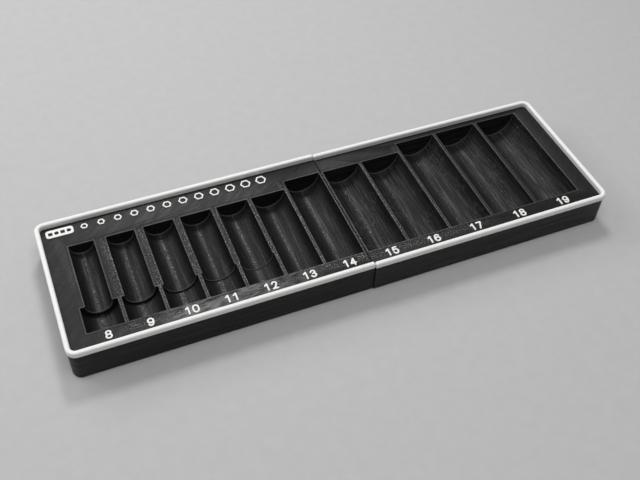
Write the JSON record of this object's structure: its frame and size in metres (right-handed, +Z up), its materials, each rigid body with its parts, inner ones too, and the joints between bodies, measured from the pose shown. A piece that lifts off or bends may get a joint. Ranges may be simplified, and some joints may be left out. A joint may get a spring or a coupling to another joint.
{
  "type": "socket organizer tray",
  "caption": "Shallow two-half drawer tray with half-round pockets for deep sockets laid on their sides, a raised rounded rim and a numeral at each pocket.",
  "frame": {"origin": "under the middle of the tray, on the surface that it rests on", "axes": "+X along the tray from the smallest socket to the largest, +Y from the numerals to the header, +Z up"},
  "size_m": [0.2916, 0.0864, 0.02],
  "materials": {
    "black_body": "matte, printed layers",
    "white_rim": "satin, printed layers",
    "white_marks": "satin",
    "black_key": "matte, printed layers"
  },
  "bodies": {
    "root": {"header_hexagon_08": "white_marks", "header_hexagon_09": "white_marks", "header_hexagon_10": "white_marks", "header_hexagon_11": "white_marks", "header_hexagon_12": "white_marks", "header_hexagon_13": "white_marks", "header_hexagon_14": "white_marks", "header_hexagon_15": "white_marks", "header_hexagon_16": "white_marks", "header_hexagon_17": "white_marks", "header_hexagon_18": "white_marks", "header_hexagon_19": "white_marks", "header_plate": "white_marks", "joining_key_1": "black_key", "joining_key_2": "black_key", "left_rim": "white_rim", "left_tray": "black_body", "numeral_08": "white_marks", "numeral_09": "white_marks", "numeral_10": "white_marks", "numeral_11": "white_marks", "numeral_12": "white_marks", "numeral_13": "white_marks", "numeral_14": "white_marks", "numeral_15": "white_marks", "numeral_16": "white_marks", "numeral_17": "white_marks", "numeral_18": "white_marks", "numeral_19": "white_marks", "right_rim": "white_rim", "right_tray": "black_body"}
  },
  "joints": []
}
